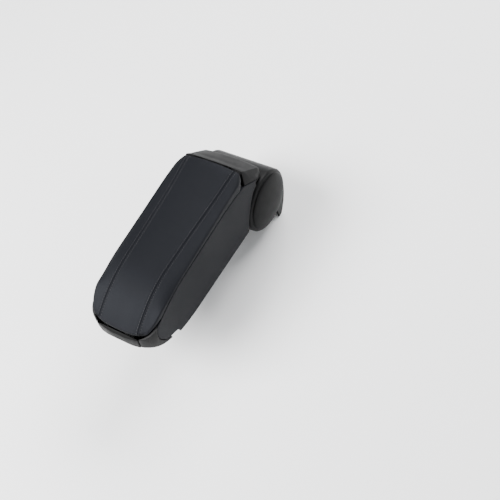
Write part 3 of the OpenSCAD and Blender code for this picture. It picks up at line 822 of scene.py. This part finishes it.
    def freedom(self, x: float, y: float) -> float:
        """How free the cover is to swell: 0 at its edges and seams, 1 in the middle of a panel."""
        edge = clamped((OUTLINE.pad_half(y) - abs(x)) / self.free_edge)
        nose = clamped((y - OUTLINE.front_y(x, OUTLINE.pad_reach)) / self.free_nose)
        rear = clamped((self.rear_y - y) / self.free_rear)
        seam = clamped(abs(abs(x) - self.seam_x(y)) / self.free_seam)
        return min(edge, nose, rear) ** 0.7 * seam**0.6

    @staticmethod
    def outward_ways(mesh: bmesh.types.BMesh) -> tuple[list[Vector], list[Vector]]:
        """Places in millimetres of the selected border vertices, and their level directions outwards."""
        points: list[Vector] = []
        ways: list[Vector] = []
        for v in (v for v in mesh.verts if v.select):
            away = Vector((0, 0, 0))
            for e in (e for e in v.link_edges if e.is_boundary):
                along = (e.other_vert(v).co - v.co) / MM
                side = Vector((along.y, -along.x, 0)).normalized()
                middle = e.link_faces[0].calc_center_median()
                away += side if side.dot(v.co - middle) > 0 else -side
            points.append(v.co / MM)
            ways.append(away.normalized())
        return points, ways

    def roll_edges(self, bench: Bench) -> None:
        """Extrudes the sheet's border down and under, ring by ring, as leather is pulled round a frame."""
        bench.pick(Part.EDGE, lambda e: e.is_boundary)
        points, ways = self.outward_ways(bmesh.from_edit_mesh(bench.obj.data))
        last = 0.0
        for ring, (out, height) in enumerate(ROLL):
            bpy.ops.mesh.extrude_edges_move(TRANSFORM_OT_translate={"value": (0, 0, 0)})
            mesh = bmesh.from_edit_mesh(bench.obj.data)
            near = KDTree(len(points))
            for i, p in enumerate(points):
                near.insert(p, i)
            near.balance()
            for v in (v for v in mesh.verts if v.select):
                p = v.co / MM
                i = near.find(p)[1]
                flat = Vector((p.x, p.y, 0)) + ways[i] * (out - last)
                low = self.low_z(flat.y)
                z = mixed(p.z, low + self.roll_turn, height) if ring < 2 else low + height
                points[i] = Vector((flat.x, flat.y, z))
                v.co = points[i] * MM
            bmesh.update_edit_mesh(bench.obj.data)
            last = out
        bench.clear()

    def clear_hinge(self, p: Vector) -> Vector:
        """Keeps a point off the round nose and the flanks of the rear cover, also when the lid swings up."""
        fade = clamped((p.y + self.hinge_far) / self.hinge_fade)
        rise = p.z - self.hinge_z
        if fade == 0.0 or rise > self.above_hinge:
            return p
        flank = self.hinge_y - 0.2 - self.flank_slope * max(0.0, self.flank_rise - rise)
        nose = self.hinge_y - math.sqrt(max(0.0, self.hinge_clear**2 - rise**2))
        limit = mixed(nose, flank, clamped((abs(p.x) - self.flank_x) / 3))
        if rise > self.above_nose:
            room = self.swing_room + self.swing_crown * max(0.0, 1 - (p.x / self.bow_half) ** 4)
            limit = min(limit, self.hinge_y + (self.open_z * rise - room) / self.open_y)
        moved = p.y + (limit - self.rear_y) * fade if limit < self.rear_y else p.y
        p.y = min(p.y, moved, limit)
        return p

    def swell(self, bench: Bench) -> None:
        """Runs the cloth simulation that fills the cover with foam, and caps how far it moves."""
        obj = bench.obj
        before = [v.co.copy() for v in obj.data.vertices]
        group = obj.vertex_groups.new(name="held")
        for v in obj.data.vertices:
            p = v.co / MM
            free = self.freedom(p.x, p.y) if p.z > OUTLINE.rim(p.y) + 4 else 0.0
            group.add([v.index], 1 - free, "REPLACE")
        bench.hold()
        cloth = obj.modifiers.new("cloth", "CLOTH")
        for key, value in CLOTH.items():
            setattr(cloth.settings, key, value)
        cloth.settings.effector_weights.gravity = 0
        cloth.collision_settings.use_collision = False
        cloth.point_cache.frame_start = 1
        cloth.point_cache.frame_end = self.swell_frames
        for frame_number in range(1, self.swell_frames + 1):
            bpy.context.scene.frame_set(frame_number)
        bpy.ops.object.modifier_apply(modifier="cloth")
        bpy.context.scene.frame_set(1)
        most = 0.0
        for v, old in zip(obj.data.vertices, before):
            step = (v.co - old) / MM
            most = max(most, step.length)
            if step.length > self.swell_cap:
                v.co = old + step.normalized() * self.swell_cap * MM
        LOG.info("pad cover swelled by up to %.2f mm before the cap", most)
        obj.vertex_groups.clear()

    def sew(self, p: Vector) -> Vector:
        """Sinks the seam and its two rows of stitches into the cover."""
        if p.z < OUTLINE.rim(p.y) + 3.5:
            return p
        distance = abs(p.x) - self.seam_x(p.y)
        if abs(distance) > self.seam_reach:
            return p

        def ridge(middle: float, height: float, width: float) -> float:
            """Height of a soft ridge along the seam."""
            return height * math.exp(-(((abs(distance) - middle) / width) ** 2))

        p.z += ridge(1.35, 0.32, 0.75) - ridge(0.0, 0.6, 0.45) - ridge(self.stitch_row, 0.45, 0.45)
        return p

    def build(self) -> None:
        """Makes the pad and its stitches."""
        bench = self.shape_cover()
        self.roll_edges(bench)
        bench.place(self.clear_hinge)
        self.swell(bench)
        bench.modify("SUBSURF", levels=1, render_levels=1)
        bench.place(self.sew)
        bench.pick(Part.EDGE, lambda e: e.is_boundary)
        bpy.ops.mesh.fill(use_beauty=True)
        bench.outward().smooth(60)
        pad = bench.done("lid", Slot.LEATHER, PAD_LEATHER, replaces=["lid_pad"])
        self.build_stitches(bench)

    def build_stitches(self, bench: Bench) -> None:
        """Four rows of thread stitches that lie in the finished cover's sunk rows."""
        mesh = bench.obj.data
        tree = BVHTree.FromPolygons([v.co for v in mesh.vertices], [list(f.vertices) for f in mesh.polygons])
        model = Bench.cube("lid_stitches", (-0.36, -1.15, -0.16), (0.36, 1.15, 0.22))
        model.modify("SUBSURF", levels=1, render_levels=1)
        Bench.clear()

        def landed(side: int, row: float, y: float) -> tuple[Any, ...]:
            """Where a row of stitches meets the cover at y."""
            x = side * (self.seam_x(y) + row)
            return tree.ray_cast(Vector((x, y, 200)) * MM, Vector((0, 0, -1)))

        benches = []
        for side, row in ((a, b * self.stitch_row) for a in (-1, 1) for b in (-1, 1)):
            y = self.rear_y - 4
            while y > self.stitch_end:
                hit, ahead = landed(side, row, y), landed(side, row, y - 1)
                if hit[0] and ahead[0] and hit[0].z / MM > OUTLINE.rim(y) + 3:
                    along = (hit[0] - ahead[0]).normalized()
                    across = along.cross(hit[1]).normalized()
                    turn = Matrix((across, along, across.cross(along))).transposed().to_4x4()
                    piece = put("stitch", model.obj.data.copy())
                    piece.data.transform(Matrix.Translation(hit[0] + hit[1] * 0.06 * MM) @ turn)
                    benches.append(Bench(piece))
                y -= self.stitch_pitch
        first = benches[0].join(benches[1:])
        bpy.data.objects.remove(model.obj)
        first.obj.name = "lid_stitches"
        first.smooth(60)
        first.done("lid", Slot.LEATHER, THREAD)


# Arm ---


@dataclass
class SidePanel:
    """Leather-wrapped panel on one side of the tub."""

    thickness: float = 3.5
    end_y: float = -239.5
    end_z: float = 125.0
    end_r: float = 32.0
    arc_y: float = 59.0
    arc_z: float = 33.0
    arc_r: float = 120.0
    columns: int = 74
    rows: int = 18
    wrap: float = 1.5
    lower_wrap: float = 3.3
    first_rear: float = -60.0
    first_front: float = -262.0
    passes: int = 24

    def build(self, name: str, side: int) -> None:
        """Makes one panel.

        Args:
            name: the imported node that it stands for.
            side: 1 on the right, -1 on the left.
        """

        def rule(p: Vector) -> Vector:
            """Place of a grid point on the panel's outer face."""
            along, up = (p.x + 1) / 2, (p.y + 1) / 2
            y = mixed(self.first_rear, self.first_front, along)
            for _ in range(self.passes):
                z = mixed(OUTLINE.belly(y), OUTLINE.rim(y) - OUTLINE.rim_gap / 2, up)
                rear = self.arc_y - math.sqrt(max(0.0, self.arc_r**2 - (z - self.arc_z) ** 2))
                drop = min(self.end_r, abs(z - self.end_z))
                front = self.end_y - math.sqrt(self.end_r**2 - drop**2)
                y = (y + mixed(rear, front, along)) / 2
            return Vector((side * OUTLINE.plan_half(y, OUTLINE.nose_reach), y, z))

        bench = Bench.grid(f"{name}_cover", self.columns, self.rows).place(rule)
        bench.pick(Part.FACE, lambda f: True)
        bpy.ops.mesh.extrude_region_move(TRANSFORM_OT_translate={"value": (-side * self.thickness * MM, 0, 0)})
        bench.place(lambda p: Vector((side * (OUTLINE.half_width - self.thickness), p.y, p.z)), picked=True)
        bench.outward()
        inner = OUTLINE.half_width - self.thickness + 0.4

        def is_outer(edge: Any) -> bool:
            """A sharp edge of the outer face."""
            return all(abs(v.co.x) / MM > inner for v in edge.verts) and edge.calc_face_angle(0) > 0.9

        def is_low(edge: Any) -> bool:
            """The outer lower edge."""
            return is_outer(edge) and all(v.co.z / MM < OUTLINE.belly(v.co.y / MM) + 0.3 for v in edge.verts)

        bench.bevel(self.wrap, 3, lambda e: is_outer(e) and not is_low(e))
        bench.bevel(self.lower_wrap, 5, is_low)
        bench.smooth(50)
        bench.done("arm", Slot.LEATHER, SIDE_LEATHER, replaces=[name])


# Shells whose edges aren't softened by the usual width, and whose shading isn't smoothed by the usual angle
SHELL_EDGES = {"latch_lever": 1.1, "storage_tub": 0.0}
SHELL_ANGLES = {"bottom_cover": 14.0, "storage_tub": 12.0}


@dataclass
class TrimShells:
    """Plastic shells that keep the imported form, with their edges softened and the visible ones bowed."""

    edge: float = 0.7
    angle: float = 32.0
    segments: int = 2
    arch_rise: float = 7.5
    arch_start: float = -20.0
    arch_end: float = 7.0
    arch_low: float = 113.0
    arch_depth: float = 10.0
    arch_half: float = 54.0
    crest_low: float = 152.0
    crest_rise: float = 0.6
    crest_crown: float = 2.8
    crest_back: float = 1.0
    crest_wide: float = 0.5
    crest_half: float = 47.0
    corner_x: float = 36.0
    flank_x: float = 50.0
    chin_y: float = -262.0
    chin_z: float = 131.0
    chin_length: float = 26.0
    chin_depth: float = 12.0
    chin_out: float = 1.6
    chin_down: float = 2.4
    tuck: float = 1.4
    tuck_y: float = -259.5
    tuck_z: float = 97.6

    def arch(self, p: Vector) -> Vector:
        """Crowns the rear cover: a flat-topped crest and a rounder slope behind it."""
        along = clamped((p.y - self.arch_start) / (self.arch_end - self.arch_start))
        up = clamped((p.z - mixed(self.crest_low, self.arch_low, along)) / self.arch_depth)
        crown = max(0.0, 1 - (p.x / self.arch_half) ** 2)
        crest = max(0.0, 1 - (p.x / self.crest_half) ** 4)
        rise = mixed(self.crest_rise + self.crest_crown * crest, self.arch_rise * crown, along**1.5) * up
        back = self.crest_back * crest * up * (1 - along)
        corner = clamped((abs(p.x) - self.corner_x) / 8) if abs(p.x) < self.flank_x else 0.0
        wide = self.crest_wide * up * corner * (1 - along)
        return Vector((p.x + math.copysign(wide, p.x), p.y + back, p.z + rise))

    def chin(self, p: Vector) -> Vector:
        """Draws the nose trim and the lever a little down and forwards below the parting line."""
        share = clamped((self.chin_y - p.y) / self.chin_length) * clamped((self.chin_z - p.z) / self.chin_depth)
        tuck = self.tuck if p.y > self.tuck_y and p.z < self.tuck_z and abs(p.x) > self.flank_x else 0.0
        return Vector((p.x, p.y - self.chin_out * share + tuck, p.z - self.chin_down * share - 0.4 * tuck))

    def cut_for_arch(self, bench: Bench) -> None:
        """Cuts the shell crosswise and lengthwise, so that it can bend."""
        bench.wake()
        cuts = [((x, 0, 0), (1, 0, 0)) for x in range(-48, 49, 6)]
        cuts += [((0, y, 0), (0, 1, 0)) for y in (-20, -14, -8, -2, 4)]
        for place, way in cuts:
            bpy.ops.mesh.select_all(action="SELECT")
            bpy.ops.mesh.bisect(plane_co=Vector(place) * MM, plane_no=way)

    def build(self, name: str, body: str, slot: Slot, finish: Finish) -> None:
        """Softens and bows one shell.

        Args:
            name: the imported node.
            body: the body that it moves with.
            slot: the record's slot.
            finish: its finish.
        """
        bench = Bench.copy_of(f"{name}_shell", FRAME["nodes"][name])
        edge = SHELL_EDGES.get(name, self.edge)
        if edge > 0:
            bench.modify(
                "BEVEL",
                width=edge * MM,
                segments=self.segments,
                limit_method="ANGLE",
                angle_limit=math.radians(35),
                use_clamp_overlap=True,
                miter_outer="MITER_ARC",
            )
        if name == "rear_cover":
            self.cut_for_arch(bench)
            bench.place(self.arch)
        elif name in ("front_bezel", "latch_lever"):
            bench.place(self.chin)
        bench.smooth(SHELL_ANGLES.get(name, self.angle))
        bench.done(body, slot, finish, replaces=[name])


# Barrel hinge ---


@dataclass
class EndCap:
    """Domed cap in the end of the barrel."""

    pivot_z: float = 65.0
    inner_x: float = 45.0
    seat_x: float = 52.3
    radius: float = 44.0
    dome: float = 7.4
    spigot_r: float = 42.8
    wall: float = 4.4
    floor_x: float = 50.6

    def build(self, name: str, side: int) -> None:
        """Makes one cap.

        Args:
            name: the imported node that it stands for.
            side: 1 on the right, -1 on the left.
        """
        seat, inner, r, spigot = self.seat_x, self.inner_x, self.radius, self.spigot_r
        turns = [math.radians(a) for a in range(90, 9, -5)]
        dome = [(seat + 0.6 + self.dome * math.sin(a) ** 1.25, r * math.cos(a)) for a in turns]
        roll = [(seat + 0.75, r - 0.25), (seat + 0.3, r), (seat, r - 0.3)]
        rim = [(seat - 0.1, spigot), (inner + 0.4, spigot), (inner, spigot - 0.4)]
        inside = [(inner, r - self.wall), (self.floor_x, r - self.wall), (self.floor_x, 0.0)]
        bench = Bench.lathe(f"{name}_dome", dome + roll + rim + inside, 120)
        bench.place(lambda p: Vector((side * p.x, p.y, p.z + self.pivot_z)))
        bench.outward().smooth(40)
        bench.done("hinge_base", Slot.TRIM, CAP, replaces=[name])


# Stage ---


@dataclass
class SoftBox:
    """A soft box: its place and the point that it faces in metres, its width and height, its power in watts."""

    name: str
    place: Triple
    aim: Triple
    size: tuple[float, float]
    power: float

    def build(self) -> None:
        """Hangs the light."""
        data = bpy.data.lights.new(self.name, "AREA")
        data.shape = "RECTANGLE"
        data.size, data.size_y = self.size
        data.energy = self.power
        light = put(self.name, data)
        light.location = self.place
        light.rotation_euler = (Vector(self.aim) - Vector(self.place)).to_track_quat("-Z", "Y").to_euler()


@dataclass
class Studio:
    """Pale floor, soft lights and the camera at the picture's angle."""

    camera_place: Triple = (0.5203, -0.5283, 1.0256)
    right: Triple = (0.8583, 0.4798, -0.1819)
    up: Triple = (-0.3304, 0.7879, 0.5196)
    back: Triple = (0.3927, -0.3858, 0.8348)
    lens: float = 58.5
    sensor: float = 36.0

    def build_floor(self) -> None:
        """A wide pale floor under the foot."""
        Bench.clear()
        bpy.ops.mesh.primitive_plane_add(size=8, location=(0, 0, -0.0004))
        floor = bpy.context.object
        floor.name = "floor"
        material = bpy.data.materials.new("pale floor")
        material.use_nodes = True
        shader = material.node_tree.nodes["Principled BSDF"]
        shader.inputs["Base Color"].default_value = (0.90, 0.90, 0.90, 1)
        shader.inputs["Roughness"].default_value = 0.9
        shader.inputs["Specular IOR Level"].default_value = 0.1
        floor.data.materials.append(material)

    def build_camera(self) -> None:
        """The camera, turned as the picture shows."""
        data = bpy.data.cameras.new("camera")
        data.lens = self.lens
        data.sensor_width = self.sensor
        data.clip_start, data.clip_end = 0.05, 30
        camera = put("camera", data)
        turn = Matrix((self.right, self.up, self.back)).transposed().to_4x4()
        camera.matrix_world = Matrix.Translation(self.camera_place) @ turn
        bpy.context.scene.camera = camera

    def build(self) -> None:
        """Makes the floor, the world, the lights and the camera."""
        self.build_floor()
        world = bpy.data.worlds.new("studio")
        world.use_nodes = True
        sky = world.node_tree.nodes["Background"]
        sky.inputs["Color"].default_value = (0.93, 0.96, 1.0, 1)
        sky.inputs["Strength"].default_value = 0.5
        bpy.context.scene.world = world
        SoftBox("front box", (-0.8, -1.15, 1.55), (0, -0.15, 0.1), (1.2, 0.9), 115).build()
        SoftBox("rear box", (0.1, 1.3, 1.5), (0, -0.1, 0.1), (1.6, 0.8), 70).build()
        SoftBox("right box", (1.7, 0.1, 0.9), (0, -0.1, 0.1), (0.9, 0.9), 11).build()
        self.build_camera()


# The whole armrest ---

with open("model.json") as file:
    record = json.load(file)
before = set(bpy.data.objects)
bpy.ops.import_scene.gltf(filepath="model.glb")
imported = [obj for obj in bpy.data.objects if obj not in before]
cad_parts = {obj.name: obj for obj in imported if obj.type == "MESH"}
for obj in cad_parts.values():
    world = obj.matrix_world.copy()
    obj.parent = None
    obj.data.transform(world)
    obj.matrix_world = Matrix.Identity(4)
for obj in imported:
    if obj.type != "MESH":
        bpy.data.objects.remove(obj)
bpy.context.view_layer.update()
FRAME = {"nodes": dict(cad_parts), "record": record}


def dress_nodes() -> None:
    """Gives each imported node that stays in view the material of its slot."""
    for row in FRAME["record"]["subparts"]:
        node = FRAME["nodes"][row["node"]]
        finish = NODE_OWN.get(row["node"], NODE_FINISH[Slot(row["material_slot"])])
        if not node.material_slots:
            node.data.materials.append(finish.material())
        for socket in node.material_slots:
            socket.material = finish.material()


def main() -> None:
    """Builds the pieces in order."""
    logging.basicConfig(level=logging.INFO, format="%(name)s %(message)s")
    dress_nodes()
    Studio().build()
    PaddedLid().build()
    for side, word in ((1, "right"), (-1, "left")):
        SidePanel().build(f"side_panel_{word}", side)
        EndCap().build(f"end_cap_{word}", side)
    shells = TrimShells()
    for name, body, slot, finish in (
        ("rear_cover", "arm", Slot.TRIM, COVER),
        ("front_bezel", "arm", Slot.TRIM, TRIM),
        ("bottom_cover", "arm", Slot.TRIM, TRIM),
        ("hinge_shroud", "hinge_base", Slot.TRIM, TRIM),
        ("storage_tub", "arm", Slot.TUB, TUB),
        ("latch_lever", "latch", Slot.TRIM, SHADED_LEVER_PLASTIC),
    ):
        shells.build(name, body, slot, finish)


if __name__ == "__main__":
    main()
